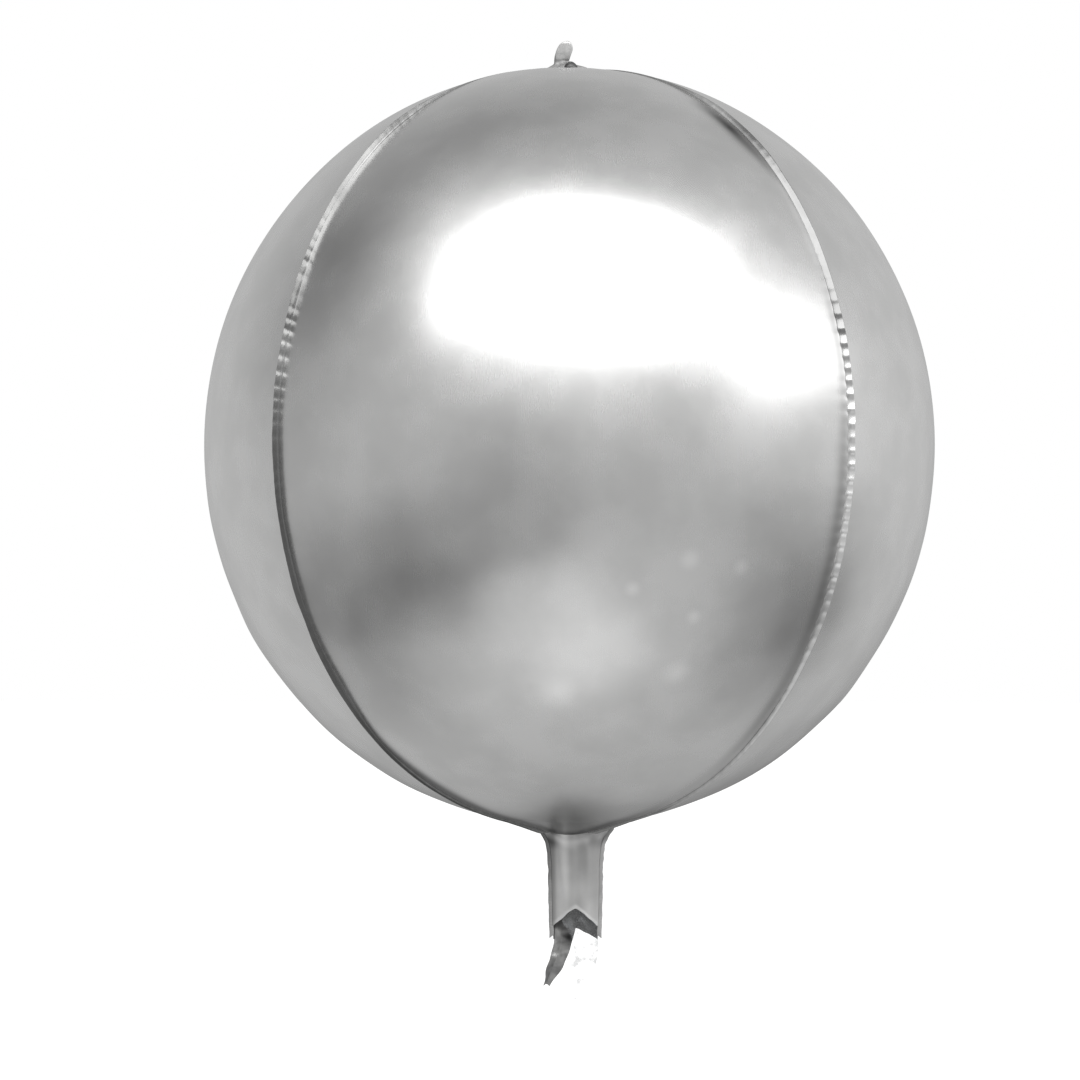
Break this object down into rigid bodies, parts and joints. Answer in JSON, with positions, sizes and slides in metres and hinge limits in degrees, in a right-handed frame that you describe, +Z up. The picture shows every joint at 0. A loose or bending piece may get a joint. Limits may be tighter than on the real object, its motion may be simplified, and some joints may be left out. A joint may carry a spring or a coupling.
{
  "type": "round foil balloon",
  "caption": "Round inflated foil balloon: silver foil gores joined by standing seams, with a hanging tab on top and a flat filling neck with valve film below.",
  "frame": {"origin": "centre of the inflated envelope, where the gas holds it up in the air", "axes": "+Z up from the neck to the hanging tab, +X to the right seen from the front, -Y towards the front gore"},
  "size_m": [0.38, 0.38, 0.5053],
  "materials": {
    "foil": "satin mirror metallised film",
    "seam_foil": "puckered heat-sealed metallised film",
    "neck_foil": "creased metallised film",
    "tail_foil": "crumpled metallised film in shade",
    "clear_film": "clear thin film"
  },
  "bodies": {
    "root": {"gore_front": "foil", "gore_right": "foil", "gore_back": "foil", "gore_left": "foil", "seam_front_right": "seam_foil", "seam_back_right": "seam_foil", "seam_back_left": "seam_foil", "seam_front_left": "seam_foil", "top_tab": "foil", "tab_fold": "tail_foil", "neck_front_ply": "neck_foil", "neck_back_ply": "neck_foil", "neck_seal_left": "neck_foil", "neck_seal_right": "neck_foil", "neck_tail": "tail_foil", "valve_film_front": "clear_film", "valve_film_back": "clear_film"}
  },
  "joints": []
}
